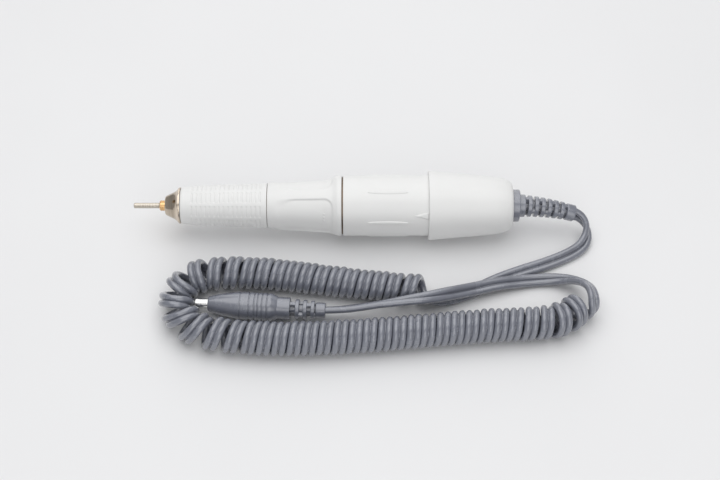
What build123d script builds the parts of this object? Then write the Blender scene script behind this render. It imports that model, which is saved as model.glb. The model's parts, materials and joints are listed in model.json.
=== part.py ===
from build123d import *
import math
import os

# Micromotor handpiece with a curly twin lead. Millimetres, +Z up, standing on z = 0.
# The tool's axis is parallel to X, with the chuck at -X and the cord at +X.

os.makedirs("parts", exist_ok=True)

# ---------------------------------------------------------------- driving dimensions
CAP_R = 14.7                    # largest radius of the tool, at the rear cap's step
AXIS_Z = CAP_R                  # height of the tool's axis
BARREL_R = 12.85                # outside of the motor housing and of the ring's flange
PIN_R = 1.175                   # standard 2.35 mm shank

PIN_TIP_X = -80.6               # free end of the test pin
PIN_END_X = -54.0               # its end inside the collet
COLLET_X = -69.5                # front face of the collet
CONE_X = -67.1                  # front face of the nose cone
GRIP_X = -60.4                  # front edge of the grip sleeve
RING_X = -23.4                  # front edge of the twist ring
RING_END_X = 8.0                # rear face of the twist ring
BARREL_X = 8.65                 # front edge of the motor housing
BARREL_END_X = 50.2             # its rear edge, inside the cap
CAP_X = 44.8                    # the cap's step
CAP_END_X = 80.6                # the cap's rear face

FIT = 0.02                      # gap between pieces that are pressed or screwed together
RUN = 0.05                      # radial running clearance

RING_TURN = 60.0                # degrees from locked to open
PUSHER_TRAVEL = 1.3             # forward travel of the pusher over that turn
CHUCK_TRAVEL = 1.0              # forward travel of the collet over that turn

SPINDLE_R = 3.0 - FIT           # runs in 6 x 12 x 4 ball bearings
SHAFT_R = 2.0 - FIT             # runs in 4 x 10 x 4 ball bearings
BEARING_WIDTH = 4.0
BALL_R = 0.95
SPINDLE_BEARINGS_X = (-59.0, -54.8, -24.0)
MOTOR_BEARINGS_X = (15.2, 59.35)

SPIGOT_R = 11.6                 # motor can, and the front housing's rear spigot
BARREL_BORE_R = 11.7

CORD_R = 1.95                   # round stand-in with the section of both leads
COIL_R = 7.05                   # outside of the curly cord's coil
COIL_Z = COIL_R + 0.05

RIDGE_ANGLES = [46 + 60 * i for i in range(6)]      # grip ridges, from +Y towards +Z
LOBE_ANGLES = [104.5 + 120 * i for i in range(3)]   # ridges between the ring's scoops
POINTER_ANGLE = 151.4
SPANNER_ANGLES = (115.0, 295.0)
BRUSH_ANGLES = (90.0, 270.0)


# ---------------------------------------------------------------- helpers
def turned(points, degrees=360):
    """Solid of revolution about the X axis; points are (x, radius)."""
    outline = make_face(Polyline(*[(x, r) for x, r in points], close=True))
    return revolve(outline, Axis.X, degrees)


def tube(x0, x1, r_in, r_out, degrees=360):
    return turned([(x0, r_in), (x1, r_in), (x1, r_out), (x0, r_out)], degrees)


def rod(x0, x1, r):
    return tube(x0, x1, 0, r)


def at_angle(shape, degrees):
    """Turn a shape built at +Y about the X axis, towards +Z."""
    return shape.rotate(Axis.X, degrees)


def sector(x0, x1, r_in, r_out, centre, width):
    """Part of a tube, centred on an angle from +Y towards +Z."""
    return at_angle(tube(x0, x1, r_in, r_out, width), centre - width / 2)


def radial_pin(x, r0, r1, radius, angle):
    """Round pin that points straight out from the X axis."""
    pin = Pos(x, (r0 + r1) / 2, 0) * Rot(90, 0, 0) * Cylinder(radius, r1 - r0)
    return at_angle(pin, angle)


def radial_box(x0, x1, r0, r1, width, angle):
    """Block that stands out from the X axis."""
    block = Pos((x0 + x1) / 2, (r0 + r1) / 2, 0) * Box(x1 - x0, r1 - r0, width)
    return at_angle(block, angle)


def solids_of(items):
    found = []
    for item in items:
        found += list(item.solids())
    return found


nodes = {}


def keep(name, *items, raised=True):
    """Store a node; pieces of the tool are built about the X axis and raised to its height."""
    found = solids_of(items)
    if raised:
        found = [solid.moved(Location((0, 0, AXIS_Z))) for solid in found]
    nodes[name] = found[0] if len(found) == 1 else Compound(children=found)


# ---------------------------------------------------------------- test pin and chuck
def test_pin():
    near, far, groove = COLLET_X - 0.4, COLLET_X + 1.0, PIN_R - 0.2
    return turned([
        (PIN_TIP_X, 0), (PIN_TIP_X, PIN_R - 0.25), (PIN_TIP_X + 0.25, PIN_R),
        (near, PIN_R), (near, groove), (far, groove), (far, PIN_R),
        (PIN_END_X, PIN_R), (PIN_END_X, 0),
    ])


def collet():
    body = turned([
        (COLLET_X, PIN_R + 0.025), (COLLET_X, 1.8), (COLLET_X + 0.4, 2.2), (-66.6, 2.2),
        (-62.5, 1.94), (-48.0, 1.94), (-48.0, PIN_R + 0.025),
    ])
    for i in range(3):
        body -= radial_box(COLLET_X - 1, -52.0, 0, 3.0, 0.35, 90 + 120 * i)
    return body


def draw_bar():
    bar = rod(-51.0, -47.9, PIN_R - 0.2) + rod(-47.9, -9.6, 1.92)
    return bar - radial_pin(-11.9, -3, 3, 0.62, 90)


def thrust_collar():
    collar = tube(-13.0, -10.8, SPINDLE_R + RUN, 5.0)
    return collar - radial_pin(-11.9, -6, 6, 0.62, 90)


def disc_springs():
    """Cone washers stacked edge to edge, in alternate directions."""
    pitch = 0.93
    washers = []
    for i in range(6):
        x = -18.8 + pitch * i
        inner, outer = (x, x + 0.5) if i % 2 else (x + 0.5, x)
        washers.append(turned([(inner, 3.1), (inner + 0.4, 3.1), (outer + 0.4, 5.2), (outer, 5.2)]))
    return washers


# ---------------------------------------------------------------- bearings
def bearing(x, r_in, r_out, count):
    """One ball bearing as (outer ring, inner ring, balls, cage)."""
    pitch = (r_in + r_out) / 2
    middle = x + BEARING_WIDTH / 2
    groove = Pos(middle, 0, 0) * Rot(0, 90, 0) * Torus(pitch, BALL_R + RUN)
    outer = tube(x, x + BEARING_WIDTH, r_out - 0.9, r_out) - groove
    inner = tube(x, x + BEARING_WIDTH, r_in, r_in + 0.9) - groove
    cage = tube(middle - 1.45, middle + 1.45, pitch - 0.3, pitch + 0.3)
    balls = []
    for i in range(count):
        place = Pos(middle, pitch, 0)
        balls.append(at_angle(place * Sphere(BALL_R), 360 * i / count))
        cage -= at_angle(place * Sphere(BALL_R + RUN), 360 * i / count)
    return outer, inner, balls, cage


def bearing_set(prefix, places, r_in, r_out, count):
    made = [bearing(x, r_in, r_out, count) for x in places]
    keep(prefix + "_outer_rings", *[b[0] for b in made])
    keep(prefix + "_inner_rings", *[b[1] for b in made])
    keep(prefix + "_balls", *[ball for b in made for ball in b[2]])
    keep(prefix + "_cages", *[b[3] for b in made])


# ---------------------------------------------------------------- front half
def nose_cone():
    cone = turned([
        (CONE_X, 3.15), (CONE_X, 3.7), (CONE_X + 0.3, 4.1), (-63.2, 5.8), (-62.4, 6.4),
        (-61.7, 7.1), (-61.3, 7.7), (GRIP_X - 0.1, 7.7), (GRIP_X - 0.05, 5.98), (-59.05, 5.98),
        (-59.05, 5.2), (-60.3, 3.6), (-62.6, 3.6), (-62.6, 4.4), (-64.0, 4.4), (-64.0, 3.15),
    ])
    for angle in SPANNER_ANGLES:
        cone -= radial_pin(-62.9, 4.9, 8.0, 0.5, angle)
    return cone


def front_housing():
    """Metal tube that carries the spindle, the ring and, behind, the motor."""
    body = turned([
        (GRIP_X, 6.02), (GRIP_X, 7.1), (-51.9, 7.1), (-51.9, 7.8), (RING_X - 0.15, 7.8),
        (RING_X - 0.15, 9.0), (RING_END_X + 0.05, 9.0), (RING_END_X + 0.05, 12.25),
        (BARREL_X - 0.05, 12.25), (BARREL_X - 0.05, SPIGOT_R), (15.0, SPIGOT_R), (15.0, 9.8),
        (BARREL_X, 9.8), (BARREL_X, 7.2), (-18.2, 7.2), (-18.2, 6.02), (-25.6, 6.02),
        (-25.6, 5.2), (-50.7, 5.2), (-50.7, 6.02),
    ])
    steps = 22
    for start in (0, 180):
        for i in range(-1, steps + 2):
            share = i / steps
            body -= radial_pin(
                -7.0 - PUSHER_TRAVEL * share, 6.8, 9.4, 1.1, start + RING_TURN * share)
    return body


def grip_sleeve():
    """White sleeve with fine rings cut round it."""
    sleeve = turned([
        (GRIP_X, 7.12), (GRIP_X, 7.3), (GRIP_X + 0.5, 7.75), (-52.6, 8.5), (-44.1, 8.9),
        (-35.5, 9.15), (RING_X - 0.2, 9.6), (RING_X - 0.2, 7.82), (-51.95, 7.82), (-51.95, 7.12),
    ])
    for i in range(16):
        x = -55.3 + 1.923 * i
        surface = 7.75 + 1.85 * ((x - GRIP_X) / 36.8) ** 0.75
        sleeve -= tube(x - 0.35, x + 0.35, surface - 0.1, surface + 1.0)
    return sleeve


def twist_ring():
    """Chuck ring with three finger scoops between low lobes and a flange behind."""
    ring = turned([
        (RING_X, 9.05), (RING_X, 9.5), (RING_X + 0.2, 9.7), (-18.3, 10.3), (-9.8, 10.8),
        (1.5, 11.6), (4.2, 12.0), (5.6, 12.6), (6.3, BARREL_R), (RING_END_X, BARREL_R),
        (RING_END_X, 9.05), (6.1, 9.05), (6.1, 9.43), (-17.6, 9.43), (-17.6, 9.05),
    ])
    floor = [(-17.0, 10.45), (-16.0, 9.95), (-9.8, 10.15), (0.0, 10.75), (3.5, 11.5), (4.4, 12.2)]
    outline = floor + [(4.4, 14.0), (-17.0, 14.0)]
    for angle in LOBE_ANGLES:
        ring -= at_angle(turned(outline, 96), angle + 12)
    return ring


def cam_liner():
    """Thin sleeve in the ring, with the two straight slots that carry the pins round."""
    liner = tube(-17.5, 6.0, 9.05, 9.41)
    for angle in (0, 180):
        liner -= radial_box(-9.6, -5.7, 8.5, 10.0, 2.1, angle)
    return liner


def pusher():
    sleeve = turned([
        (-10.4, 3.3), (-10.4, 7.12), (-4.6, 7.12), (-4.6, 6.0), (-9.4, 6.0), (-9.4, 3.3),
    ])
    for angle in (0, 180):
        sleeve -= radial_pin(-7.0, 5.0, 8.0, 1.02, angle)
    return sleeve


def spindle():
    body = turned([
        (-66.6, 2.28), (-66.6, SPINDLE_R - 0.2), (-66.4, SPINDLE_R), (-3.4, SPINDLE_R),
        (-3.4, 2.0), (-62.5, 2.0),
    ])
    return body - Pos(-12.4, 0, 0) * Box(2.6, 1.3, 10)


def spindle_dog():
    hub = tube(-8.6, -3.2, SPINDLE_R + FIT, 5.4)
    return hub + sector(-3.4, 0.2, 3.2, 5.3, 0, 60) + sector(-3.4, 0.2, 3.2, 5.3, 180, 60)


def motor_dog():
    hub = tube(0.6, 6.6, SHAFT_R + FIT, 5.4)
    return hub + sector(-2.8, 0.8, 3.2, 5.3, 90, 60) + sector(-2.8, 0.8, 3.2, 5.3, 270, 60)


def coupling_spider():
    """Elastic cross whose four arms sit between the jaws."""
    cross = rod(-2.9, 0.1, 3.0)
    for angle in (45, 135, 225, 315):
        cross += radial_box(-2.7, 0.1, 2.0, 5.2, 1.5, angle)
    return cross


# ---------------------------------------------------------------- motor
def front_plate():
    return turned([
        (14.4, 2.6), (15.15, 2.6), (15.15, 5.02), (19.25, 5.02), (19.25, 6.4), (18.1, 6.4),
        (18.1, SPIGOT_R), (15.1, SPIGOT_R), (15.1, 6.6), (14.4, 6.6),
    ])


def armature_core():
    core = tube(24.0, 46.0, SHAFT_R + FIT, 8.5)
    for i in range(9):
        core -= radial_box(23.0, 47.0, 4.6, 7.9, 1.9, 40 * i)
        core -= radial_box(23.0, 47.0, 7.0, 9.0, 0.8, 40 * i)
    return core


def windings():
    """Copper in the nine slots, joined by a bundle at each end of the core."""
    coils = tube(21.4, 23.9, 3.6, 7.6) + tube(46.1, 48.6, 3.6, 7.6)
    for i in range(9):
        coils += radial_box(23.8, 46.2, 4.7, 7.5, 1.75, 40 * i)
    return coils


def commutator():
    ring = tube(50.6, 56.6, 2.9, 4.2)
    for i in range(9):
        ring -= radial_box(50.0, 57.0, 2.0, 5.0, 0.3, 40 * i + 20)
    return ring


def brush_holder():
    """Moulded end plate with a bearing cup and two brush boxes."""
    body = turned([
        (57.6, 3.2), (57.6, 10.5), (58.05, 10.5), (58.05, SPIGOT_R), (59.2, SPIGOT_R),
        (59.2, 6.4), (64.1, 6.4), (64.1, 2.6), (63.4, 2.6), (63.4, 5.02), (59.3, 5.02),
        (59.3, 3.2),
    ])
    for angle in BRUSH_ANGLES:
        body += radial_box(51.0, 57.7, 4.9, 10.2, 4.6, angle)
        body -= radial_box(51.65, 55.75, 4.0, 11.0, 3.1, angle)
        body -= radial_box(57.0, 60.0, 10.1, 10.8, 2.6, angle)
    return body


def brush(angle):
    block = radial_box(51.7, 55.7, 3.5, 7.8, 3.0, angle)
    return block - rod(50.0, 57.0, 4.2 + RUN)


def brush_spring(angle):
    """Three flat turns that stand between the brush and its terminal."""
    turns = []
    for i in range(3):
        ring = Pos(53.7, 8.2 + 0.85 * i, 0) * Rot(90, 0, 0) * Torus(1.0, 0.25)
        turns.append(at_angle(ring, angle))
    return turns


def brush_terminals():
    return [radial_box(51.2, 62.0, 10.28, 10.46, 2.2, angle) for angle in BRUSH_ANGLES]


def lead_wire(side):
    """Insulated wire from a terminal to the end of the cord."""
    route = [(60.0, 0, 9.5), (66.0, 0, 9.2), (70.5, 0, 4.6), (73.6, 0, 1.2)]
    path = FilletPolyline(*[(x, y, side * z) for x, y, z in route], radius=3.0)
    return sweep(Plane(origin=path @ 0, z_dir=path % 0) * Circle(0.6), path=path)


def motor_housing():
    body = tube(BARREL_X, BARREL_END_X, BARREL_BORE_R, BARREL_R)
    lens = make_face([
        ThreePointArc((19.2, 0), (27.5, 0.75), (35.8, 0)),
        ThreePointArc((35.8, 0), (27.5, -0.75), (19.2, 0)),
    ])
    arrow = make_face(Polyline((38.6, 0), (41.5, 0.7), (CAP_X - 0.02, 1.5),
                               (CAP_X - 0.02, -1.5), (41.5, -0.7), close=True))
    outward = Plane(origin=(0, 12.4, 0), x_dir=(1, 0, 0), z_dir=(0, 1, 0))
    for angle in RIDGE_ANGLES:
        body += at_angle(extrude(outward * lens, 0.75), angle)
    return body + at_angle(extrude(outward * arrow, 1.1), POINTER_ANGLE)


def rear_cap():
    return turned([
        (CAP_X, BARREL_R + RUN), (CAP_X, CAP_R - 0.3), (CAP_X + 0.3, CAP_R), (46.5, 14.65),
        (54.2, 13.9), (62.7, 13.3), (71.2, 12.5), (75.5, 11.85), (78.4, 11.0), (79.9, 10.1),
        (CAP_END_X, 9.0), (CAP_END_X, 4.45), (78.6, 4.45), (78.6, 8.6), (76.5, 9.8),
        (70.0, 11.0), (59.5, 12.0), (50.3, 12.3), (50.3, BARREL_R + RUN),
    ])


# ---------------------------------------------------------------- strain relief
BOOT_REACH = 26.7               # from the cap's rear face to the boot's end, along X
BOOT_DROP = 4.3                 # how far the end hangs off the axis
BOOT_SIDE = Vector(0, -0.186, -0.982)
BOOT_TURN = 2 * math.atan2(BOOT_DROP, BOOT_REACH)
BOOT_BEND_R = BOOT_REACH / math.sin(BOOT_TURN)
BOOT_LENGTH = BOOT_BEND_R * BOOT_TURN
BOOT_START = Vector(CAP_END_X, 0, AXIS_Z)


def boot_point(s):
    turn = s / BOOT_BEND_R
    along = Vector(1, 0, 0) * (BOOT_BEND_R * math.sin(turn))
    return BOOT_START + along + BOOT_SIDE * (BOOT_BEND_R * (1 - math.cos(turn)))


def boot_plane(s):
    """Section plane at a distance along the boot's curve, its X axis upwards."""
    turn = s / BOOT_BEND_R
    tangent = Vector(1, 0, 0) * math.cos(turn) + BOOT_SIDE * math.sin(turn)
    level = Vector(0, 1, 0)
    return Plane(origin=boot_point(s), x_dir=level.cross(tangent) * -1, z_dir=tangent)


def boot_disc(s, thickness, r_out, r_in=2.0):
    return extrude(boot_plane(s) * (Circle(r_out) - Circle(r_in)), thickness)


def ladder(section_at, stations, end_block, bar_width=1.7):
    """Rings along a curve, each gap crossed by two bars, turned a quarter from gap to gap."""
    body = None
    for i, (s, thickness, radius) in enumerate(stations):
        ring = section_at(s, thickness, radius)
        body = ring if body is None else body + ring
        following = stations[i + 1] if i + 1 < len(stations) else end_block
        gap = following[0] - s - thickness
        reach = min(radius, following[2]) - 0.15
        for side in (1, -1):
            offset = side * (2.0 + reach) / 2
            across = (offset, 0) if i % 2 else (0, offset)
            size = (reach - 2.0, bar_width) if i % 2 else (bar_width, reach - 2.0)
            bar = Pos(*across) * Rectangle(*size)
            body += extrude(section_at.plane(s + thickness - 0.2) * bar, gap + 0.4)
    return body + section_at(*end_block)


boot_disc.plane = boot_plane


def cord_boot():
    stations = [(2.9, 2.5, 4.85)]
    for i in range(6):
        stations.append((6.5 + 2.78 * i, 1.7, 4.6 - 0.16 * i))
    body = ladder(boot_disc, stations, (23.2, BOOT_LENGTH - 23.2, 3.6))
    neck = tube(77.2, 78.5, 2.0, 5.6) + tube(78.4, 80.8, 2.0, 4.4) + tube(80.7, 83.55, 2.0, 6.9)
    return body + neck.moved(Location((0, 0, AXIS_Z)))


def inner_cord():
    """The cord's tail: straight inside the cap, then along the boot's curve."""
    straight = Line((74.0, 0, AXIS_Z), (CAP_END_X, 0, AXIS_Z))
    bent = ThreePointArc(boot_point(0), boot_point(BOOT_LENGTH / 2), boot_point(BOOT_LENGTH))
    route = Wire([straight, bent])
    return sweep(Plane(origin=(74.0, 0, AXIS_Z), z_dir=(1, 0, 0)) * Circle(CORD_R), path=route)


# ---------------------------------------------------------------- plug
PLUG_NOSE = Vector(-46.7, -46.0, 5.8)
PLUG_YAW = -4.2                 # degrees; the tail points a little towards -Y
PLUG_LENGTH = 48.6
PLUG_PLACE = Pos(*PLUG_NOSE) * Rot(0, 0, PLUG_YAW)


def plug_disc(s, thickness, r_out, r_in=2.0):
    return extrude(plug_disc.plane(s) * (Circle(r_out) - Circle(r_in)), thickness)


def plug_plane(s):
    return Plane(origin=(s, 0, 0), x_dir=(0, 0, 1), z_dir=(1, 0, 0))


plug_disc.plane = plug_plane


def plug_body():
    """Moulded body: tapered nose, ringed grip, shoulder, neck and its own ladder boot."""
    body = turned([
        (0, 2.25), (0, 2.75), (0.4, 3.1), (3.5, 4.0), (7.5, 4.9), (12.0, 5.55), (14.0, 5.75),
        (26.0, 5.8), (28.2, 4.9), (28.8, 4.5), (34.0, 4.5), (34.0, 2.0), (5.2, 2.0), (5.2, 2.25),
    ])
    for x in (13.2, 17.0, 19.2, 20.6, 22.4, 24.4):
        body -= tube(x, x + 0.45, 5.5, 6.5)
    stations = [(33.0, 1.0, 4.5)]
    for i in range(3):
        stations.append((36.1 + 3.2 * i, 1.6, 4.0 - 0.1 * i))
    return PLUG_PLACE * (body + ladder(plug_disc, stations, (44.4, PLUG_LENGTH - 44.4, 3.2)))


def plug_shell():
    return PLUG_PLACE * (tube(-5.0, 5.0, 1.85, 2.2))


def plug_insert():
    core = rod(-4.2, 5.0, 1.83)
    for side in (1, -1):
        core -= Pos(-2.0, 0, 0.85 * side) * Rot(0, 90, 0) * Cylinder(0.37, 6.0)
    return PLUG_PLACE * core


def plug_contacts():
    pins = []
    for side in (1, -1):
        pins.append(PLUG_PLACE * Pos(-1.7, 0, 0.85 * side) * Rot(0, 90, 0) * Cylinder(0.35, 5.0))
    return pins


def plug_cord():
    """The lead inside the plug and its boot."""
    return PLUG_PLACE * rod(5.3, PLUG_LENGTH, CORD_R)


# ---------------------------------------------------------------- free cord
BOOT_END = boot_point(BOOT_LENGTH)
PLUG_TAIL = (1.77, -49.56, 5.8)

LEAD_FROM_TOOL = [
    tuple(BOOT_END), (112.8, -1.3, 8.7), (116.6, -4.6, 5.9), (116.8, -9.8, 3.4),
    (113.2, -14.6, 2.2), (106.4, -18.0, 2.0), (96.0, -21.4, 2.0), (84.0, -25.1, 2.0),
    (72.0, -30.6, 2.0), (60.5, -37.4, 2.0), (49.5, -42.1, 2.6), (41.0, -41.9, 3.6),
]

COIL_ROUTE = [
    (41.0, -38.3), (22.0, -37.0), (0.0, -34.3), (-20.0, -31.2), (-38.0, -30.3),
    (-51.5, -31.6), (-59.5, -38.8), (-60.0, -50.8), (-53.0, -60.3), (-40.5, -63.6),
    (-22.0, -64.9), (0.0, -64.8), (24.0, -62.8), (48.0, -60.0), (70.0, -58.0),
    (88.0, -57.0), (100.5, -54.3), (106.3, -46.8),
]

LEAD_TO_PLUG = [
    (109.2, -49.0, 10.6), (112.4, -44.7, 11.0), (113.0, -39.0, 10.2), (109.6, -34.2, 8.8),
    (102.5, -31.6, 7.0), (93.0, -32.2, 6.3), (80.0, -35.3, 6.4), (66.5, -38.8, 7.2),
    (54.5, -43.4, 9.2), (43.0, -47.4, 11.0), (31.0, -48.3, 9.3), (20.0, -48.9, 7.0),
    (10.5, -50.0, 5.9), PLUG_TAIL,
]


def bend_radii(points):
    """Radius of each corner: 0.45 of its shorter run over the tangent of half the turn."""
    radii = []
    for a, b, c in zip(points, points[1:], points[2:]):
        first, second = b - a, c - b
        half = math.radians(first.get_angle(second)) / 2
        radii.append(0.45 * min(first.length, second.length) / math.tan(half))
    return radii


def swept_cord(name, route, radius):
    points = [Vector(*p) for p in route]
    radii = bend_radii(points)
    path = FilletPolyline(*points, radius=radii)
    solid = sweep(Plane(origin=path @ 0, z_dir=path % 0) * Circle(radius), path=path)
    expected = math.pi * radius ** 2 * path.length
    print(name, "path", round(path.length, 1), "mm, radii",
          [round(r, 1) for r in radii], "volume ratio", round(solid.volume / expected, 4))
    keep(name, solid, raised=False)


# ---------------------------------------------------------------- the nodes
keep("test_pin", test_pin())
keep("collet", collet())
keep("draw_bar", draw_bar())
keep("cross_pin", radial_pin(-11.9, -4.8, 4.8, 0.6, 90))
keep("thrust_collar", thrust_collar())
keep("disc_springs", *disc_springs())
keep("spring_seat", tube(-19.95, -18.85, SPINDLE_R + FIT, 4.6))
keep("spindle", spindle())
keep("spindle_spacer", tube(-50.75, -24.05, SPINDLE_R + FIT, 3.8))
keep("preload_washer", tube(-25.3, -24.1, 5.25, 5.9))
keep("bearing_clip", tube(-19.9, -19.1, 5.25, 6.0, 320))
bearing_set("spindle", SPINDLE_BEARINGS_X, 3.0, 6.0, 9)
bearing_set("motor", MOTOR_BEARINGS_X, 2.0, 5.0, 7)

keep("nose_cone", nose_cone())
keep("dust_seal", tube(-63.9, -62.7, 3.1, 4.35))
keep("front_housing", front_housing())
keep("grip_sleeve", grip_sleeve())
keep("twist_ring", twist_ring())
keep("cam_liner", cam_liner())
keep("pusher", pusher())
keep("pusher_pins", *[radial_pin(-7.0, 6.1, 9.3, 1.0, angle) for angle in (0, 180)])
keep("spindle_dog", spindle_dog())
keep("coupling_spider", coupling_spider())
keep("motor_dog", motor_dog())

keep("motor_housing", motor_housing())
keep("motor_can", tube(18.2, 58.0, 10.6, SPIGOT_R))
keep("front_plate", front_plate())
keep("magnets", *[sector(22.0, 48.0, 8.95, 10.55, angle, 130) for angle in (0, 180)])
keep("armature_shaft", rod(0.9, 66.0, SHAFT_R))
keep("armature_core", armature_core())
keep("windings", windings())
keep("commutator", commutator())
keep("commutator_core", tube(50.2, 57.0, SHAFT_R + FIT, 2.85))
keep("brush_holder", brush_holder())
for side_name, side_angle in zip(("upper", "lower"), BRUSH_ANGLES):
    keep("brush_" + side_name, brush(side_angle))
    keep("brush_spring_" + side_name, *brush_spring(side_angle))
keep("brush_terminals", *brush_terminals())
keep("lead_wires", lead_wire(1), lead_wire(-1))
keep("cord_collar", tube(74.4, 77.0, CORD_R + FIT, 3.4))
keep("rear_cap", rear_cap())

keep("cord_boot", cord_boot(), raised=False)
keep("inner_cord", inner_cord(), raised=False)
keep("plug_body", plug_body(), raised=False)
keep("plug_shell", plug_shell(), raised=False)
keep("plug_insert", plug_insert(), raised=False)
keep("plug_contacts", *plug_contacts(), raised=False)
keep("plug_cord", plug_cord(), raised=False)

swept_cord("cord_lead_tool", LEAD_FROM_TOOL, CORD_R)
swept_cord("cord_coil", [(x, y, COIL_Z) for x, y in COIL_ROUTE], COIL_R)
swept_cord("cord_lead_plug", LEAD_TO_PLUG, CORD_R)

for node_name, node_shape in nodes.items():
    export_step(node_shape, "parts/" + node_name + ".step")
print(len(nodes), "nodes")
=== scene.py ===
"""Visual model of a micromotor handpiece: white shells, metal nose, curly twin lead and round plug.

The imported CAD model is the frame. +X runs along the handpiece from its collet to its strain
relief, +Z is up and the floor is z = 0. Shapes are worked out in millimetres and stored in metres.
"""
import json
import math

import bpy
import numpy as np
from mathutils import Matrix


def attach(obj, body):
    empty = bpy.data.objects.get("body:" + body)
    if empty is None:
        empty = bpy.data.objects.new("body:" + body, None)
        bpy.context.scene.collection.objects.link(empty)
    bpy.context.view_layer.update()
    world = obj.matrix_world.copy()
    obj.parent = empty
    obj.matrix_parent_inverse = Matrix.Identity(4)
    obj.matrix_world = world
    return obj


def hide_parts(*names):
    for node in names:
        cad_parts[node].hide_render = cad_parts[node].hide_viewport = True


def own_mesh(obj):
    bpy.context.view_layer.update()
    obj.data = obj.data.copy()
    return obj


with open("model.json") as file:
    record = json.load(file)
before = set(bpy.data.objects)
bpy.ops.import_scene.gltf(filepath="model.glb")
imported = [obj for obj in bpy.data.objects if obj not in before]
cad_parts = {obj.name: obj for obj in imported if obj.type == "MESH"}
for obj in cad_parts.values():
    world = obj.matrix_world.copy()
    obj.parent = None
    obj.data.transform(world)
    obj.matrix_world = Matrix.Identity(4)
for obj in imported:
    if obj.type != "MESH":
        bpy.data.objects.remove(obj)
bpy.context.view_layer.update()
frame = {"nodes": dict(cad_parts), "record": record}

MM = 0.001
AXIS_HEIGHT = 14.7


# ---------------------------------------------------------------- camera
def make_camera():
    """A long lens, 50 degrees above the floor, square to the handpiece."""
    data = bpy.data.cameras.new("camera")
    data.lens = 76.2
    data.sensor_width = 36.0
    data.clip_start = 0.01
    camera = bpy.data.objects.new("camera", data)
    camera.location = (0.0158, -0.42907, 0.50318)
    camera.rotation_euler = (math.radians(40), 0, 0)
    bpy.context.scene.collection.objects.link(camera)
    bpy.context.scene.camera = camera


make_camera()


# ---------------------------------------------------------------- mesh building
def grid_faces(rows, columns, closed_rows):
    """Quads of a grid whose columns wrap round; its rows wrap as well where closed_rows is true."""
    last = rows if closed_rows else rows - 1
    row, column = np.meshgrid(np.arange(last), np.arange(columns), indexing="ij")
    after_row, after_column = (row + 1) % rows, (column + 1) % columns
    corners = [row * columns + column, row * columns + after_column,
               after_row * columns + after_column, after_row * columns + column]
    return np.stack(corners, -1).reshape(-1, 4)


def shell(points, closed_rows=False):
    """A closed surface from a (rows, columns, 3) grid: a ring of rows, or a tube with flat ends."""
    rows, columns = points.shape[:2]
    quads = grid_faces(rows, columns, closed_rows)
    flat = points.reshape(-1, 3)
    ends = []
    if not closed_rows:
        first = np.arange(columns)
        ends = [first, (rows - 1) * columns + first[::-1]]
    a, b, c, d = (flat[quads[:, k]] for k in range(4))
    volume = np.einsum("ij,ij->i", a, np.cross(b, c) + np.cross(c, d)).sum()
    for end in ends:
        hub = flat[end[0]]
        volume += np.einsum("j,ij->i", hub, np.cross(flat[end[1:-1]], flat[end[2:]])).sum()
    if volume < 0:
        quads = quads[:, ::-1]
        ends = [end[::-1] for end in ends]
    return flat, quads, ends


def put_piece(name, shells, body, slot, replaces=(), sharp=40):
    """Join shells (in mm) into one smooth-shaded object that rides on a body of the frame."""
    points, loops, sizes, base = [], [], [], 0
    for flat, quads, ends in shells:
        points.append(flat)
        loops += [(quads + base).ravel()] + [end + base for end in ends]
        sizes += [np.full(len(quads), 4)] + [np.array([len(end)]) for end in ends]
        base += len(flat)
    points, loops, sizes = np.concatenate(points), np.concatenate(loops), np.concatenate(sizes)
    mesh = bpy.data.meshes.new(name)
    mesh.vertices.add(len(points))
    mesh.vertices.foreach_set("co", (points * MM).astype(np.float32).ravel())
    mesh.loops.add(len(loops))
    mesh.loops.foreach_set("vertex_index", loops.astype(np.int32))
    mesh.polygons.add(len(sizes))
    mesh.polygons.foreach_set("loop_start", (np.cumsum(sizes) - sizes).astype(np.int32))
    mesh.polygons.foreach_set("use_smooth", np.ones(len(sizes), bool))
    mesh.update(calc_edges=True)
    mesh.set_sharp_from_angle(angle=math.radians(sharp))
    piece = bpy.data.objects.new(name, mesh)
    bpy.context.scene.collection.objects.link(piece)
    piece.data.materials.append(finishes[slot])
    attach(piece, body)
    if replaces:
        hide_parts(*replaces)
    return piece


def ease(value, start, end):
    """Smooth step: 0 before start, 1 after end, with a level tangent at both."""
    share = np.clip((value - start) / (end - start), 0, 1)
    return share * share * (3 - 2 * share)


def outline(corners, step=1.0):
    """A closed outline through corners of (x, radius, rounding, outside).

    Each corner is a small parabola that leaves its runs at the rounding's distance, and each run
    is split to the step. The last column is 1 on the outside skin and 0 in the bore.
    """
    corners = np.array(corners, float)
    place = corners[:, [0, 1, 3]]
    turn = np.linspace(0, 1, 6)[:, None]
    path = []
    for before, corner, after, rounding in zip(np.roll(place, 1, 0), place, np.roll(place, -1, 0),
                                               corners[:, 2]):
        if rounding == 0:
            path.append(corner[None])
            continue
        inward, onward = before - corner, after - corner
        start = corner + inward * min(0.45, rounding / np.linalg.norm(inward[:2]))
        end = corner + onward * min(0.45, rounding / np.linalg.norm(onward[:2]))
        path.append((1 - turn) ** 2 * start + 2 * turn * (1 - turn) * corner + turn ** 2 * end)
    path = np.concatenate(path)
    runs = []
    for start, end in zip(path, np.roll(path, -1, 0)):
        count = max(1, int(np.ceil(np.linalg.norm(end[:2] - start[:2]) / step)))
        runs.append(start + (end - start) * (np.arange(count) / count)[:, None])
    return np.concatenate(runs)


def around(count, dense=(), reach=5.0, extra=24):
    """Angles round the axis in radians: even, with closer ones within reach degrees of each dense one."""
    angles = [np.arange(count) * 360.0 / count]
    angles += [centre + np.linspace(-reach, reach, extra) for centre in dense]
    return np.radians(np.unique(np.round(np.concatenate(angles) % 360, 3)))


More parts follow.
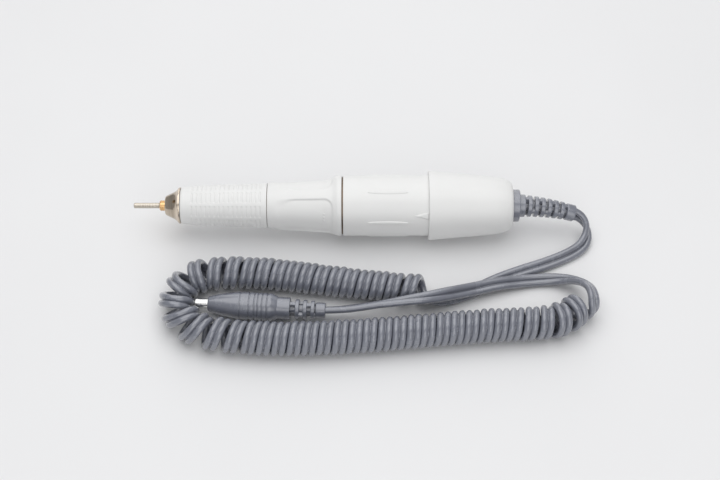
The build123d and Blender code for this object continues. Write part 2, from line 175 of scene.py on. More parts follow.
def turned(profile, angles, relief=None):
    """The outline turned about the handpiece's axis.

    y = radius cos(angle), z = axis height + radius sin(angle); the relief, a height that depends
    on x and the angle, is added to the radius of the outside skin.
    """
    x, radius, outside = profile[:, 0:1], profile[:, 1:2], profile[:, 2:3]
    angle = angles[None, :]
    if relief is not None:
        radius = radius + relief(x, angle) * outside
    radius = radius + 0 * angle
    return np.stack([x + 0 * angle, radius * np.cos(angle), AXIS_HEIGHT + radius * np.sin(angle)], -1)


def from_centre(angle, centre):
    """Angle from a centre given in degrees, in radians between -pi and pi."""
    return (angle - math.radians(centre) + math.pi) % (2 * math.pi) - math.pi


# ---------------------------------------------------------------- finishes
def finish(name, colour, shade, rough, metal=0.0, grain=(400, 400, 400), gloss_spread=0.06,
           bump=0.1, depth=0.00002, bump_grain=None, coat=0.0, bands=None, specular=0.5):
    """A moulded, machined or coated surface.

    Two tones are mixed by a noise stretched along the axes (grain, in cycles per metre), the same
    noise makes the gloss uneven, and a finer noise or a row of bands makes the bump.
    """
    material = bpy.data.materials.new(name)
    material.use_nodes = True
    nodes, links = material.node_tree.nodes, material.node_tree.links
    shader = nodes["Principled BSDF"]
    shader.inputs["Metallic"].default_value = metal
    shader.inputs["Specular IOR Level"].default_value = specular
    shader.inputs["Coat Weight"].default_value = coat
    shader.inputs["Coat Roughness"].default_value = 0.2
    place = nodes.new("ShaderNodeTexCoord")

    def noise(scale, detail):
        mapping = nodes.new("ShaderNodeMapping")
        mapping.inputs["Scale"].default_value = scale
        links.new(place.outputs["Object"], mapping.inputs["Vector"])
        texture = nodes.new("ShaderNodeTexNoise")
        texture.inputs["Scale"].default_value = 1.0
        texture.inputs["Detail"].default_value = detail
        links.new(mapping.outputs["Vector"], texture.inputs["Vector"])
        return texture.outputs["Fac"]

    tone = noise(grain, 3.0)
    ramp = nodes.new("ShaderNodeValToRGB")
    ramp.color_ramp.elements[0].position = 0.34
    ramp.color_ramp.elements[0].color = (*shade, 1)
    ramp.color_ramp.elements[1].position = 0.66
    ramp.color_ramp.elements[1].color = (*colour, 1)
    links.new(tone, ramp.inputs["Fac"])
    links.new(ramp.outputs["Color"], shader.inputs["Base Color"])
    gloss = nodes.new("ShaderNodeMapRange")
    gloss.inputs["From Min"].default_value = 0.3
    gloss.inputs["From Max"].default_value = 0.7
    gloss.inputs["To Min"].default_value = max(0.03, rough - gloss_spread)
    gloss.inputs["To Max"].default_value = rough + gloss_spread
    links.new(tone, gloss.inputs["Value"])
    links.new(gloss.outputs["Result"], shader.inputs["Roughness"])
    if bands is None:
        height = noise(bump_grain or tuple(6 * g for g in grain), 2.0)
    else:
        wave = nodes.new("ShaderNodeTexWave")
        wave.bands_direction = bands[0]
        wave.inputs["Scale"].default_value = 0.314 / bands[1]
        wave.inputs["Distortion"].default_value = 0.3
        links.new(place.outputs["Object"], wave.inputs["Vector"])
        height = wave.outputs["Fac"]
    relief = nodes.new("ShaderNodeBump")
    relief.inputs["Strength"].default_value = bump
    relief.inputs["Distance"].default_value = depth
    links.new(height, relief.inputs["Height"])
    links.new(relief.outputs["Normal"], shader.inputs["Normal"])
    return material


TURNED = (3500, 60, 60)          # tool marks: rings round the axis, fine along it
DRAWN = (60, 2500, 2500)         # marks along the axis

finishes = {
    "white_shell": finish("satin_white_moulding", (0.80, 0.80, 0.79), (0.785, 0.785, 0.775), 0.36,
                          grain=(90, 90, 90), bump_grain=(5200, 5200, 5200), bump=0.10, depth=0.000012),
    # The nickel's dark tone, mixed in wide rings along the nose, is painted reflection of dark surroundings
    # on the polished metal.
    "nickel": finish("warm_nickel_with_painted_reflection_rings", (0.82, 0.71, 0.59), (0.42, 0.36, 0.29), 0.18, 1.0,
                     grain=(330, 12, 12), bump=0.25, depth=0.00001, bump_grain=TURNED),
    "collet_bronze": finish("gold_bronze", (0.86, 0.56, 0.28), (0.66, 0.40, 0.18), 0.24, 1.0,
                            grain=TURNED, bump=0.25, depth=0.00001, bump_grain=TURNED),
    # The housing metal's brown is its own colour. It is darkened further as painted shade for the dark seam
    # between twist ring and housing.
    "housing_metal": finish("brown_metal_with_painted_seam_shade", (0.19, 0.14, 0.10), (0.13, 0.095, 0.07), 0.40, 1.0,
                            grain=TURNED, bump=0.3, depth=0.00001, bump_grain=TURNED),
    "steel": finish("ground_steel", (0.58, 0.53, 0.46), (0.46, 0.42, 0.36), 0.24, 1.0,
                    grain=TURNED, bump=0.3, depth=0.00001, bump_grain=TURNED),
    "bearing_steel": finish("polished_bearing_steel", (0.70, 0.70, 0.71), (0.62, 0.62, 0.63), 0.12, 1.0,
                            grain=(900, 900, 900), bump=0.05),
    "cage_brass": finish("pressed_brass", (0.76, 0.58, 0.28), (0.62, 0.45, 0.20), 0.30, 1.0,
                         grain=(700, 700, 700)),
    "spring_steel": finish("blued_spring_steel", (0.34, 0.34, 0.38), (0.24, 0.23, 0.25), 0.30, 1.0,
                           grain=(300, 900, 900)),
    "coupling_metal": finish("turned_coupling_metal", (0.70, 0.70, 0.70), (0.56, 0.56, 0.57), 0.34, 1.0,
                             grain=TURNED, bump=0.4, depth=0.00002, bump_grain=TURNED),
    "seal_rubber": finish("black_rubber", (0.022, 0.022, 0.023), (0.012, 0.012, 0.012), 0.62,
                          grain=(900, 900, 900), bump=0.4, depth=0.00003),
    "magnet": finish("sintered_magnet", (0.11, 0.11, 0.12), (0.06, 0.06, 0.065), 0.55, 0.5,
                     grain=(1500, 1500, 1500), bump=0.5, depth=0.00004),
    "lamination": finish("stacked_sheet_steel", (0.36, 0.35, 0.34), (0.24, 0.23, 0.22), 0.42, 1.0,
                         grain=(1200, 80, 80), bump=0.6, depth=0.00008, bands=("X", 0.00050)),
    "copper": finish("enamelled_copper_wire", (0.72, 0.30, 0.12), (0.50, 0.18, 0.07), 0.30, 1.0,
                     grain=(200, 900, 900), bump=0.7, depth=0.00010, bands=("X", 0.00035), coat=0.5),
    "brown_moulding": finish("brown_phenolic", (0.13, 0.065, 0.032), (0.08, 0.038, 0.018), 0.38,
                             grain=(260, 260, 260), bump=0.2),
    "carbon": finish("pressed_carbon", (0.035, 0.035, 0.038), (0.018, 0.018, 0.02), 0.5, 0.2,
                     grain=(1800, 1800, 1800), bump=0.5, depth=0.00004),
    "brass": finish("bright_brass", (0.82, 0.62, 0.28), (0.68, 0.48, 0.20), 0.2, 1.0,
                    grain=DRAWN, bump=0.2),
    "wire_insulation": finish("red_wire_insulation", (0.42, 0.02, 0.014), (0.30, 0.012, 0.01), 0.35,
                              grain=(300, 300, 300)),
    "cord_grey": finish("bluish_grey_jacket", (0.184, 0.195, 0.234), (0.156, 0.165, 0.200), 0.25,
                        grain=(160, 160, 160), bump_grain=(3000, 3000, 3000), bump=0.12, depth=0.00002,
                        coat=1.0, specular=1.0),
    "plug_metal": finish("plated_contact_shell", (0.80, 0.80, 0.79), (0.70, 0.70, 0.69), 0.16, 1.0,
                         grain=DRAWN, bump=0.2),
    "plug_insulator": finish("black_insulator", (0.02, 0.02, 0.022), (0.012, 0.012, 0.013), 0.42,
                             grain=(500, 500, 500)),
}

slot_of = {part["node"]: part["material_slot"] for part in frame["record"]["subparts"]}
for node_name, node in frame["nodes"].items():
    node.data.materials.clear()
    node.data.materials.append(finishes[slot_of[node_name]])


# ---------------------------------------------------------------- strain relief and plug
BOOT_START = np.array([80.6, 0.0, AXIS_HEIGHT])
BOOT_AHEAD = np.array([1.0, 0.0, 0.0])
BOOT_INSIDE = np.array([0.0, -0.186, -0.982])
BOOT_ACROSS = np.array([0.0, 0.982, -0.186])
BOOT_RADIUS = 85.05
BOOT_LENGTH = 27.15
PLUG_NOSE = np.array([-46.7, -46.0, 5.8])
PLUG_AHEAD = np.array([0.99731, -0.07324, 0.0])
PLUG_ACROSS = np.array([0.07324, 0.99731, 0.0])
PLUG_UP = np.array([0.0, 0.0, 1.0])
BORE = 2.0                       # cord bore in both ladders


def on_boot(s, across, up):
    """The point s along the boot's arc of BOOT_RADIUS, moved across it and up from its inside."""
    turn = s / BOOT_RADIUS
    out = (BOOT_RADIUS + up)[..., None] if np.ndim(up) else np.array(BOOT_RADIUS + up)[None]
    sine, cosine = np.sin(turn)[..., None], np.cos(turn)[..., None]
    return (BOOT_START + BOOT_INSIDE * BOOT_RADIUS + out * (BOOT_AHEAD * sine - BOOT_INSIDE * cosine)
            + BOOT_ACROSS * across[..., None])


def on_plug(s, across, up):
    """The point s behind the plug's nose, moved across and up."""
    return (PLUG_NOSE + PLUG_AHEAD * s[..., None] + PLUG_ACROSS * across[..., None]
            + PLUG_UP * up[..., None])


def ring_on(place, corners, count=72):
    """A closed outline of (s, radius) turned about the line that place follows."""
    profile = outline(corners, 0.8)
    angle = around(count)[None, :]
    s, radius = profile[:, 0:1] + 0 * angle, profile[:, 1:2]
    return shell(place(s, radius * np.cos(angle), radius * np.sin(angle)), closed_rows=True)


def collar_on(place, s, thickness, radius, edge=0.35, bore=BORE):
    """A flat ring with rounded edges."""
    end = s + thickness
    return ring_on(place, [(s, bore, 0.1, 0), (s, radius, edge, 1), (end, radius, edge, 1),
                           (end, bore, 0.1, 0)])


def web_on(place, s, gap, reach, upright, side, width=1.7):
    """A bar that bridges the gap between two rings: a rounded oblong, flared where it meets them."""
    turn = np.linspace(0, 2 * np.pi, 20, endpoint=False)[None, :]
    along = np.linspace(-1, 1, 9)[:, None]
    flare = 1 + 0.22 * along ** 4
    cosine, sine = np.cos(turn), np.sin(turn)
    wide = width / 2 * flare * np.sign(cosine) * np.abs(cosine) ** 0.45
    tall = (reach - BORE) / 2 * np.sign(sine) * np.abs(sine) ** 0.45
    tall = side * (BORE + reach) / 2 + tall + 0 * along
    run = s + gap / 2 + (gap / 2 + 0.25) * along + 0 * turn
    across, up = (wide, tall) if upright else (tall, wide)
    return shell(place(run, across, up))


def ladder_on(place, rings, end):
    """Rings on a line, each gap bridged by two bars that turn a quarter from gap to gap."""
    shells = [collar_on(place, *ring) for ring in rings] + [collar_on(place, *end, edge=0.6)]
    for index, (s, thickness, radius) in enumerate(rings):
        following = rings[index + 1] if index + 1 < len(rings) else end
        gap = following[0] - s - thickness
        reach = min(radius, following[2]) - 0.15
        for side in (1, -1):
            shells.append(web_on(place, s + thickness, gap, reach, index % 2 == 0, side))
    return shells


boot_rings = [(2.9, 2.5, 4.85)] + [(6.5 + 2.78 * i, 1.7, 4.6 - 0.16 * i) for i in range(6)]
boot_shells = ladder_on(on_boot, boot_rings, (23.2, BOOT_LENGTH - 23.2, 3.6))
boot_shells.append(ring_on(on_boot, [(-3.4, BORE, 0, 0), (-3.4, 5.5, 0.2, 1), (-2.1, 5.6, 0.2, 1),
                                     (-2.1, 4.4, 0.1, 1), (0.1, 4.4, 0.1, 1), (0.1, 6.9, 0.3, 1),
                                     (2.95, 6.9, 0.35, 1), (2.95, BORE, 0, 0)], 96))
boot = put_piece("strain_relief", boot_shells, "root", "cord_grey", ["cord_boot"])

plug_corners = [(0, 2.25, 0.1, 0), (0, 2.85, 0.3, 1), (0.5, 3.15, 0.5, 1), (3.5, 4.0, 1.5, 1),
                (7.5, 4.9, 2.0, 1), (12.0, 5.55, 1.0, 1)]
for groove in (13.2, 17.0, 19.2, 20.6, 22.4, 24.4):
    top = 5.70 if groove < 14 else 5.8
    plug_corners += [(groove, top, 0.12, 1), (groove + 0.06, 5.45, 0.1, 1),
                     (groove + 0.42, 5.45, 0.1, 1), (groove + 0.48, top, 0.12, 1)]
plug_corners += [(26.0, 5.8, 0.6, 1), (28.2, 4.9, 0.6, 1), (28.8, 4.5, 0.3, 1), (34.0, 4.5, 0.4, 1),
                 (34.0, BORE, 0, 0), (5.2, BORE, 0, 0), (5.2, 2.25, 0, 0)]
plug_shells = [ring_on(on_plug, plug_corners, 96)]
plug_rings = [(33.0, 1.0, 4.5)] + [(36.1 + 3.2 * i, 1.6, 4.0 - 0.1 * i) for i in range(3)]
plug_shells += ladder_on(on_plug, plug_rings, (44.4, 4.2, 3.2))
plug = put_piece("plug_moulding", plug_shells, "root", "cord_grey", ["plug_body"])


# ---------------------------------------------------------------- cord
LEAD_FROM_TOOL = [                # points in mm, and the way the flat of the twin lead faces
    ((104.6, -0.55, 11.35), (0.0, -1.0, 0.3)),
    ((107.3, -0.80, 10.48), (0.0, -1.0, 0.3)),
    ((110.9, -1.4, 8.4), (-0.5, -0.8, -0.1)),
    ((113.4, -4.4, 5.4), (-0.8, -0.3, -0.45)),
    ((112.9, -9.0, 3.1), (-0.7, 0.1, -0.7)),
    ((109.8, -13.4, 2.2), (-0.35, 0.35, -0.85)),
    ((103.4, -17.6, 2.0), (-0.1, 0.45, -0.9)),
    ((95.0, -21.6, 1.9), (0.0, 0.35, -0.94)),
    ((84.0, -25.6, 1.7), (0.0, 0.2, -1.0)),
    ((73.0, -30.0, 1.4), (0.0, 0.0, -1.0)),
    ((62.0, -36.8, 1.4), (0.0, 0.0, -1.0)),
    ((51.5, -41.2, 1.5), (0.0, -0.1, -1.0)),
]
COIL_ROUTE = [
    (42.6, -38.4), (22.0, -37.0), (0.0, -34.3), (-20.0, -31.2), (-38.0, -30.3),
    (-51.5, -31.6), (-59.5, -38.8), (-60.0, -50.8), (-52.4, -59.9), (-40.5, -63.2),
    (-22.0, -64.9), (0.0, -64.8), (24.0, -62.8), (48.0, -60.0), (70.0, -58.0),
    (88.0, -57.2), (101.2, -55.0), (107.8, -45.6),
]
LEAD_TO_PLUG = [
    ((111.2, -46.2, 12.0), (0.7, -0.1, 0.7)),
    ((110.4, -40.8, 10.8), (0.55, 0.25, 0.8)),
    ((107.2, -35.0, 7.0), (0.3, 0.4, 0.85)),
    ((100.6, -30.8, 3.2), (0.0, 0.2, 1.0)),
    ((92.0, -30.2, 1.9), (0.0, -0.1, 1.0)),
    ((83.0, -31.7, 2.6), (0.0, -0.2, 1.0)),
    ((74.0, -34.0, 4.2), (0.0, -0.3, 1.0)),
    ((64.0, -37.4, 5.0), (0.0, -0.5, 0.9)),
    ((54.0, -41.6, 7.4), (0.0, -0.6, 0.8)),
    ((44.0, -45.8, 9.9), (0.0, 0.0, 1.0)),
    ((35.0, -47.8, 10.6), (0.0, 0.4, 0.9)),
    ((24.0, -48.5, 8.7), (0.0, 0.7, 0.7)),
    ((12.5, -49.0, 6.4), (0.0, 0.7, 0.7)),
    ((5.5, -49.29, 5.85), (0.0, 0.766, 0.643)),
    ((-0.9, -49.36, 5.8), (0.0, 0.766, 0.643)),
]
STRAND_RADIUS = 1.41             # each half of the twin lead
STRAND_OFFSET = 1.49             # its middle from the middle of the lead
WEB_HALF = 0.20                  # half the thickness of the web between them
TURN_POINTS = 14                 # points for each turn of the coil
# along the coil, in mm: outer diameter, and the length of coil that one turn takes
DIAMETER_AT = [(0, 12.1), (12, 12.6), (40, 13.3), (80, 13.9), (120, 14.3), (180, 14.4), (250, 14.1),
               (290, 13.8)]
PITCH_AT = [(0, 8.4), (8, 7.4), (14, 6.0), (62, 6.0), (72, 6.5), (80, 7.1), (88, 7.5), (94, 8.4),
            (104, 8.9), (130, 9.0), (138, 8.1), (148, 6.7), (156, 5.92), (250, 5.92), (262, 6.2),
            (275, 6.6), (293, 7.6)]
COIL_START = math.radians(236)   # angle of the first point from straight up
CURVE_INSIDE = 0.987             # the spline runs this much inside its helix points
TILE_LEAN = math.radians(38)      # lean of the lead on the inside of the bend
TURN_TIP = 0.6                   # forward tip of the turns where they run towards the front
BEND_REACH = 17                  # mm of radius at which the lean is full
SKIN_STEP = 1.1                  # mm between rings of the lead's skin


def spline_line(points):
    """The line of a NURBS spline of order 3 with these control points, kept to their length unit."""
    data = bpy.data.curves.new("route", "CURVE")
    data.dimensions = "3D"
    data.resolution_u = 8
    spline = data.splines.new("NURBS")
    spline.points.add(len(points) - 1)
    spline.points.foreach_set("co", np.c_[points, np.ones(len(points))].ravel())
    spline.order_u = 3
    spline.use_endpoint_u = True
    carrier = bpy.data.objects.new("route", data)
    mesh = bpy.data.meshes.new_from_object(carrier)
    line = np.empty(len(mesh.vertices) * 3)
    mesh.vertices.foreach_get("co", line)
    bpy.data.objects.remove(carrier)
    bpy.data.curves.remove(data)
    bpy.data.meshes.remove(mesh)
    return line.reshape(-1, 3)


def distance_along(line):
    """Length travelled at each point of a line."""
    return np.r_[0, np.cumsum(np.linalg.norm(np.diff(line, axis=0), axis=1))]


def read_at(where, known, values):
    """Each column of values, read at the places where along the known distances."""
    return np.stack([np.interp(where, known, column) for column in values.T], -1)


def unit(vectors):
    return vectors / np.linalg.norm(vectors, axis=-1, keepdims=True)


def coil_points():
    """A left-handed helix round the coil's own line, and the way each point faces.

    The turns counted so far are the integral of 1 / pitch. The point is the line's, raised to half
    the coil's diameter, plus the coil's radius at minus that angle from straight up. In the bend
    the lead leans over by up to 38 degrees where it lies on the inside, like roof tiles, and the
    turns tip forward by up to 0.6 of their radius.
    """
    line = spline_line(np.c_[COIL_ROUTE, np.zeros(len(COIL_ROUTE))])
    travelled = distance_along(line)
    fine = np.linspace(0, travelled[-1], 4000)
    pitch = np.interp(fine, *np.transpose(PITCH_AT))
    pitch = pitch * (1 + 0.018 * np.sin(fine * 0.53) + 0.015 * np.sin(fine * 0.31 + 1.0))
    turns = np.r_[0, np.cumsum(np.diff(fine) * 2 / (pitch[1:] + pitch[:-1]))]
    count = int(turns[-1] * TURN_POINTS)
    at = np.interp(np.arange(count + 1) / TURN_POINTS, turns, fine)
    centre = read_at(at, travelled, line)

    def heading(where):
        inside = np.clip(where, 2, fine[-1] - 2)
        return unit(read_at(inside + 2, travelled, line) - read_at(inside - 2, travelled, line))

    ahead = heading(at)
    bend = (heading(at + 5) - heading(at - 5)) / 10
    sharpness = np.linalg.norm(bend, axis=1, keepdims=True)
    inward = bend / np.maximum(sharpness, 1e-9)
    diameter = np.interp(at, *np.transpose(DIAMETER_AT))
    diameter = diameter * (1 + 0.012 * np.sin(at * 0.41) + 0.008 * np.sin(at * 0.97))
    up = np.array([0.0, 0.0, 1.0])
    side = unit(np.cross(ahead, up))
    angle = (COIL_START - 2 * np.pi * np.arange(count + 1) / TURN_POINTS)[:, None]
    radial = np.cos(angle) * up + np.sin(angle) * side
    inner_side = np.clip((radial * inward).sum(1, keepdims=True), 0, 1)
    lean = TILE_LEAN * inner_side * np.clip(sharpness * BEND_REACH, 0, 1)
    radius = (diameter / 2 - STRAND_RADIUS)[:, None] / CURVE_INSIDE
    tip = TURN_TIP * np.clip(-ahead[:, 1:2], 0, 1) * np.cos(angle)
    points = centre + up * (diameter / 2)[:, None] + radius * (radial + tip * ahead)
    return points, np.cos(lean) * radial + np.sin(lean) * ahead


def twin_lead():
    """The whole lead as one line, the way it faces along it, and its figure-of-eight skin."""
    helix, helix_faces = coil_points()
    lead_in, lead_out = np.array(LEAD_FROM_TOOL), np.array(LEAD_TO_PLUG)
    points = np.concatenate([lead_in[:, 0], helix, lead_out[:, 0]])
    faces = np.concatenate([lead_in[:, 1], helix_faces, lead_out[:, 1]])
    line = spline_line(points)
    travelled = distance_along(line)
    control = np.linspace(0, len(points) - 2, len(line)) + 0.5
    facing = read_at(control, np.arange(len(points)), faces)
    count = int(travelled[-1] / SKIN_STEP)
    at = np.linspace(0, travelled[-1], count)
    middle = read_at(at, travelled, line)
    facing = read_at(at, travelled, facing)
    ahead = unit(np.gradient(middle, axis=0))
    facing = unit(facing - ahead * (facing * ahead).sum(1, keepdims=True))
    across = np.cross(ahead, facing)
    waist = math.asin(WEB_HALF / STRAND_RADIUS)
    sweep = np.linspace(-(math.pi - waist), math.pi - waist, 17)
    section = np.concatenate([
        np.c_[STRAND_OFFSET + STRAND_RADIUS * np.cos(sweep), STRAND_RADIUS * np.sin(sweep)],
        np.c_[-STRAND_OFFSET - STRAND_RADIUS * np.cos(sweep), -STRAND_RADIUS * np.sin(sweep)],
    ])
    skin = (middle[:, None] + across[:, None] * section[None, :, :1]
            + facing[:, None] * section[None, :, 1:])
    return middle, skin, travelled[-1]


cord_line, cord_skin, cord_length = twin_lead()
cord = put_piece("curly_twin_lead", [shell(cord_skin)], "root", "cord_grey",
                 ["cord_lead_tool", "cord_coil", "cord_lead_plug"], sharp=70)


# ---------------------------------------------------------------- white shells
GROOVE_FIRST, GROOVE_PITCH, GROOVE_COUNT, GROOVE_DEPTH = -55.3, 1.923, 16, 0.30


def ring_depth(x, angle):
    """Fine grooves cut round the grip in nine short arcs, with plain bands between the arcs.

    Each groove is a cosine notch in x; it fades out within two degrees of the ends of its arc.
    """
    step = (x - GROOVE_FIRST) / GROOVE_PITCH
    nearest = np.clip(np.round(step), 0, GROOVE_COUNT - 1)
    offset = np.abs(step - nearest) * GROOVE_PITCH
    notch = np.clip(1 - (offset / 0.52) ** 2, 0, 1) ** 1.5
    turn = (np.degrees(angle) - 149.0 + 20.0) % 40.0 - 20.0
    arc = 1 - ease(np.abs(turn), 13.6, 16.0)
    return -GROOVE_DEPTH * notch * arc


grip = outline([(-60.4, 7.12, 0.1, 0), (-60.4, 7.45, 0.25, 1), (-59.8, 7.85, 0.55, 1), (-56.5, 8.2, 2.0, 1),
                (-52.6, 8.52, 2.0, 1), (-44.1, 8.92, 3.0, 1), (-35.5, 9.18, 3.0, 1), (-23.6, 9.6, 0.3, 1),
                (-23.6, 7.82, 0, 0), (-51.95, 7.82, 0, 0), (-51.95, 7.12, 0, 0)], 0.22)
put_piece("grip_sleeve_white", [shell(turned(grip, around(240), ring_depth), True)],
          "root", "white_shell", ["grip_sleeve"])

LOBES = (104.5, 224.5, 344.5)    # degrees round the axis, between the scoops
SCOOP_SKIN, SCOOP_HALF_TURN = 10.7, math.radians(48)
SCOOP_MIDDLE, SCOOP_HALF_LENGTH, SCOOP_CORNER = -8.4, 12.9, 4.0
# the ring's outside as (x, radius)
RING_SKIN = np.array([(-23.4, 9.62), (-18.3, 10.3), (-9.8, 10.8), (1.5, 11.6), (4.2, 12.0), (5.6, 12.6),
                      (6.3, 12.85), (8.0, 12.85)])


def scoop_depth(x, angle):
    """Three finger scoops between lobes: a rounded oblong on the unrolled skin.

    The floor is the CAD's. The depth fades in across the oblong's edge, quickly along the sides
    and behind, slowly in front.
    """
    floor = np.interp(x, [-21.8, -17.0, -9.8, 0.0, 3.5, 5.4], [9.95, 9.85, 10.15, 10.75, 11.35, 12.2])
    skin = np.interp(x, RING_SKIN[:, 0], RING_SKIN[:, 1])
    full = np.clip(skin - floor, 0, 2)
    depth = np.zeros(np.broadcast(x, angle).shape)
    for lobe in LOBES:
        across = from_centre(angle, lobe + 60) * SCOOP_SKIN
        half_width = SCOOP_HALF_TURN * SCOOP_SKIN
        past_side = np.abs(across) - (half_width - SCOOP_CORNER)
        past_end = np.abs(x - SCOOP_MIDDLE) - (SCOOP_HALF_LENGTH - SCOOP_CORNER)
        edge = np.hypot(np.maximum(past_side, 0), np.maximum(past_end, 0)) - SCOOP_CORNER
        edge = edge + np.minimum(np.maximum(past_side, past_end), 0)
        soft = 0.6 + 2.6 * ease(-x, 12.0, 18.0)
        depth = np.maximum(depth, full * (1 - ease(edge, -soft, 0.15)))
    return -depth


ring_corners = [(-23.4, 9.05, 0.1, 0), (-23.4, 9.62, 0.3, 1)]
ring_corners += [(x, r, 1.5, 1) for x, r in RING_SKIN[1:4]]
ring_corners += [(4.2, 12.0, 0.7, 1), (5.6, 12.6, 0.5, 1), (6.3, 12.85, 0.3, 1), (8.0, 12.85, 0.3, 1),
                 (8.0, 9.05, 0, 0), (6.1, 9.05, 0, 0), (6.1, 9.43, 0, 0), (-17.6, 9.43, 0, 0),
                 (-17.6, 9.05, 0, 0)]
put_piece("twist_ring_white", [shell(turned(outline(ring_corners, 0.33), around(300), scoop_depth), True)],
          "twist_ring", "white_shell", ["twist_ring"])

RIDGES = [46 + 60 * i for i in range(6)]
POINTER = 151.4


def barrel_relief(x, angle):
    """Six lens-shaped grip ridges and one arrowhead that points at the chuck.

    A ridge's height is a half ellipse across a width that itself is a half ellipse along x. The
    arrowhead widens evenly towards the cap and has a flat top with rounded sides.
    """
    radius = 12.85
    lens = 0.80 * np.sqrt(np.clip(1 - ((x - 27.5) / 8.4) ** 2, 0, 1)) + 1e-6
    height = np.zeros(np.broadcast(x, angle).shape)
    for centre in RIDGES:
        across = from_centre(angle, centre) * radius
        height = np.maximum(height, 0.34 * np.sqrt(np.clip(1 - (across / lens) ** 2, 0, 1)))
    across = np.abs(from_centre(angle, POINTER)) * radius
    half = np.interp(x, [38.6, 44.8], [0.0, 1.65])
    side = np.clip((half - across) / 0.45, 0, 1) * (x > 38.6) * (x < 44.9)
    return np.maximum(height, 0.42 * side * (2 - side))


barrel = outline([(8.65, 11.7, 0.1, 0), (8.65, 12.85, 0.3, 1), (44.9, 12.85, 0, 1), (45.0, 12.85, 0, 0),
                  (50.2, 12.85, 0.1, 0), (50.2, 11.7, 0.1, 0)], 0.4)
barrel_angles = around(120, [*RIDGES, POINTER], 7.0, 40)
put_piece("motor_housing_white", [shell(turned(barrel, barrel_angles, barrel_relief), True)],
          "root", "white_shell", ["motor_housing"])

cap = outline([(44.8, 12.87, 0.1, 0), (44.8, 14.7, 0.35, 1), (46.5, 14.66, 0.8, 1), (54.2, 13.95, 4, 1),
               (62.7, 13.3, 4, 1), (71.2, 12.5, 3, 1), (75.5, 11.85, 2, 1), (78.4, 11.0, 1.2, 1),
               (79.9, 10.1, 0.8, 1), (80.6, 9.0, 0.6, 1), (80.6, 4.45, 0.1, 1), (78.6, 4.45, 0, 0),
               (78.6, 8.6, 0, 0), (76.5, 9.8, 0, 0), (70.0, 11.0, 0, 0), (59.5, 12.0, 0, 0),
               (50.3, 12.3, 0, 0), (50.3, 12.87, 0, 0)], 0.8)
put_piece("rear_cap_white", [shell(turned(cap, around(160)), True)], "root", "white_shell", ["rear_cap"])


# ---------------------------------------------------------------- metal nose, pin and index dots
SPANNER_HOLES = (115, 295)       # degrees round the axis
SPANNER_X, SPANNER_SKIN = -62.9, 6.1


def spanner_pits(x, angle):
    """Two blind round holes for a pin spanner: steep-sided pits 0.6 mm in radius."""
    depth = np.zeros(np.broadcast(x, angle).shape)
    for centre in SPANNER_HOLES:
        away = np.hypot(x - SPANNER_X, from_centre(angle, centre) * SPANNER_SKIN)
        depth = np.maximum(depth, 1 - ease(away, 0.55, 0.72))
    return -1.3 * depth


nose = outline([(-67.1, 3.15, 0.1, 0), (-67.1, 3.7, 0.15, 1), (-66.8, 4.1, 0.2, 1), (-63.2, 5.8, 0.3, 1),
                (-62.4, 6.4, 0.2, 1), (-61.7, 7.1, 0.2, 1), (-61.3, 7.7, 0.15, 1), (-60.5, 7.7, 0.1, 1),
                (-60.45, 5.98, 0, 0), (-59.05, 5.98, 0, 0), (-59.05, 5.2, 0, 0), (-60.3, 3.6, 0, 0),
                (-62.6, 3.6, 0, 0), (-62.6, 4.4, 0, 0), (-64.0, 4.4, 0, 0), (-64.0, 3.15, 0, 0)], 0.11)
nose_angles = around(120, SPANNER_HOLES, 8.0, 60)
put_piece("nose_cone_nickel", [shell(turned(nose, nose_angles, spanner_pits), True)],
          "root", "nickel", ["nose_cone"])

pin_profile = np.array([(-80.6, 0.02), (-80.6, 0.80), (-80.55, 0.90), (-80.38, 1.12), (-80.3, 1.175),
                        (-69.9, 1.175), (-69.84, 0.975), (-68.56, 0.975), (-68.5, 1.175), (-54.0, 1.175),
                        (-54.0, 0.02)])
pin_profile = np.c_[pin_profile, np.ones(len(pin_profile))]
put_piece("test_pin_steel", [shell(turned(pin_profile, around(48)))], "test_pin", "steel", ["test_pin"],
          sharp=25)


SPRING_COUNT, SPRING_FRONT, SPRING_PITCH = 6, -18.8, 0.93


def spring_stack():
    """Six cone washers edge to edge, in alternate directions."""
    shells = []
    for index in range(SPRING_COUNT):
        x = SPRING_FRONT + SPRING_PITCH * index
        inner, outer = (x, x + 0.5) if index % 2 else (x + 0.5, x)
        washer = outline([(inner, 3.1, 0.06, 1), (outer, 5.2, 0.06, 1), (outer + 0.4, 5.2, 0.06, 1),
                          (inner + 0.4, 3.1, 0.06, 1)], 0.5)
        shells.append(shell(turned(washer, around(72)), True))
    return shells


springs = put_piece("disc_spring_stack", spring_stack(), "rotor", "spring_steel", ["disc_springs"])
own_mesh(springs)


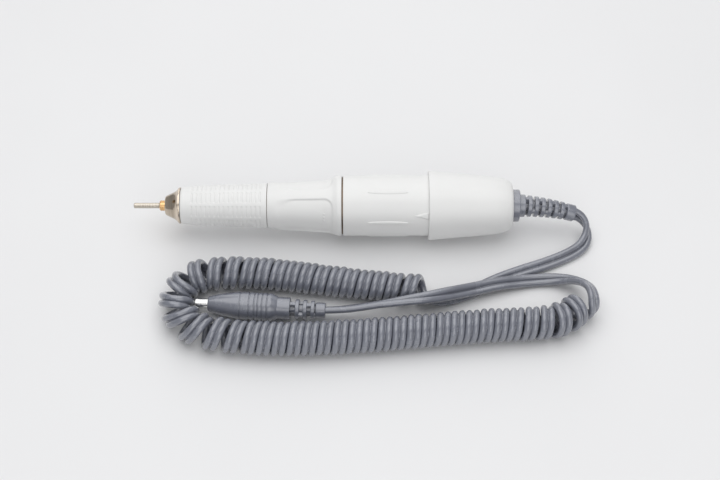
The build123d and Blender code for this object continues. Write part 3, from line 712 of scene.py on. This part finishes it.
def index_dot(x, angle, size):
    """A low round pad on the ring, sunk at its rim.

    Its height is 0.15 less 0.12 times the distance from its middle to the fourth power.
    """
    out = np.array([0.02, 0.25, 0.5, 0.75, 0.92, 1.0, 1.0])[:, None]
    turn = np.linspace(0, 2 * np.pi, 24, endpoint=False)[None, :]
    rise = np.where(np.arange(7)[:, None] < 6, 0.12 * (1 - out ** 4) + 0.03, -0.25)
    at_x = x + size * out * np.cos(turn)
    at_angle = math.radians(angle) + size * out * np.sin(turn) / 11.0
    skin = np.interp(at_x, RING_SKIN[:, 0], RING_SKIN[:, 1]) + scoop_depth(at_x, at_angle)
    radius = skin + rise
    return shell(np.stack([at_x, radius * np.cos(at_angle), AXIS_HEIGHT + radius * np.sin(at_angle)], -1))


dots = [index_dot(0.6, 151.0 + 8.0 * i, 0.55) for i in range(3)]
put_piece("index_dots", dots, "twist_ring", "white_shell")


# ---------------------------------------------------------------- floor and light
def make_floor():
    """A wide pale sheet, faintly uneven in tone."""
    edge = 3.0
    mesh = bpy.data.meshes.new("floor")
    mesh.from_pydata([(-edge, -edge, 0), (edge, -edge, 0), (edge, edge, 0), (-edge, edge, 0)], [],
                     [(0, 1, 2, 3)])
    floor = bpy.data.objects.new("floor", mesh)
    bpy.context.scene.collection.objects.link(floor)
    mesh.materials.append(finish("pale_floor", (0.80, 0.80, 0.805), (0.785, 0.785, 0.79), 0.55,
                                 grain=(9, 9, 9), bump_grain=(700, 700, 700), bump=0.02))


def area_light(name, place, aim, size, power, tint=(1.0, 1.0, 1.0)):
    """A square soft box at a place, turned to an aim point."""
    data = bpy.data.lights.new(name, "AREA")
    data.size = size
    data.energy = power
    data.color = tint
    light = bpy.data.objects.new(name, data)
    light.location = place
    way = np.array(place) - np.array(aim)
    light.rotation_euler = (math.atan2(math.hypot(way[0], way[1]), way[2]), 0,
                            math.atan2(way[0], -way[1]))
    bpy.context.scene.collection.objects.link(light)


make_floor()
area_light("overhead_box", (-0.05, 0.10, 1.00), (0.0, -0.02, 0.0), 1.3, 7.8)
area_light("back_box", (0.0, 1.10, 0.55), (0.0, -0.02, 0.0), 1.0, 3.0)
area_light("front_fill", (0.20, -0.95, 0.52), (0.0, -0.02, 0.0), 0.9, 3.3)
world = bpy.data.worlds.new("studio")
world.use_nodes = True
world.node_tree.nodes["Background"].inputs["Color"].default_value = (0.98, 0.985, 1.0, 1)
world.node_tree.nodes["Background"].inputs["Strength"].default_value = 0.38
bpy.context.scene.world = world
bpy.context.scene.view_settings.view_transform = "Standard"
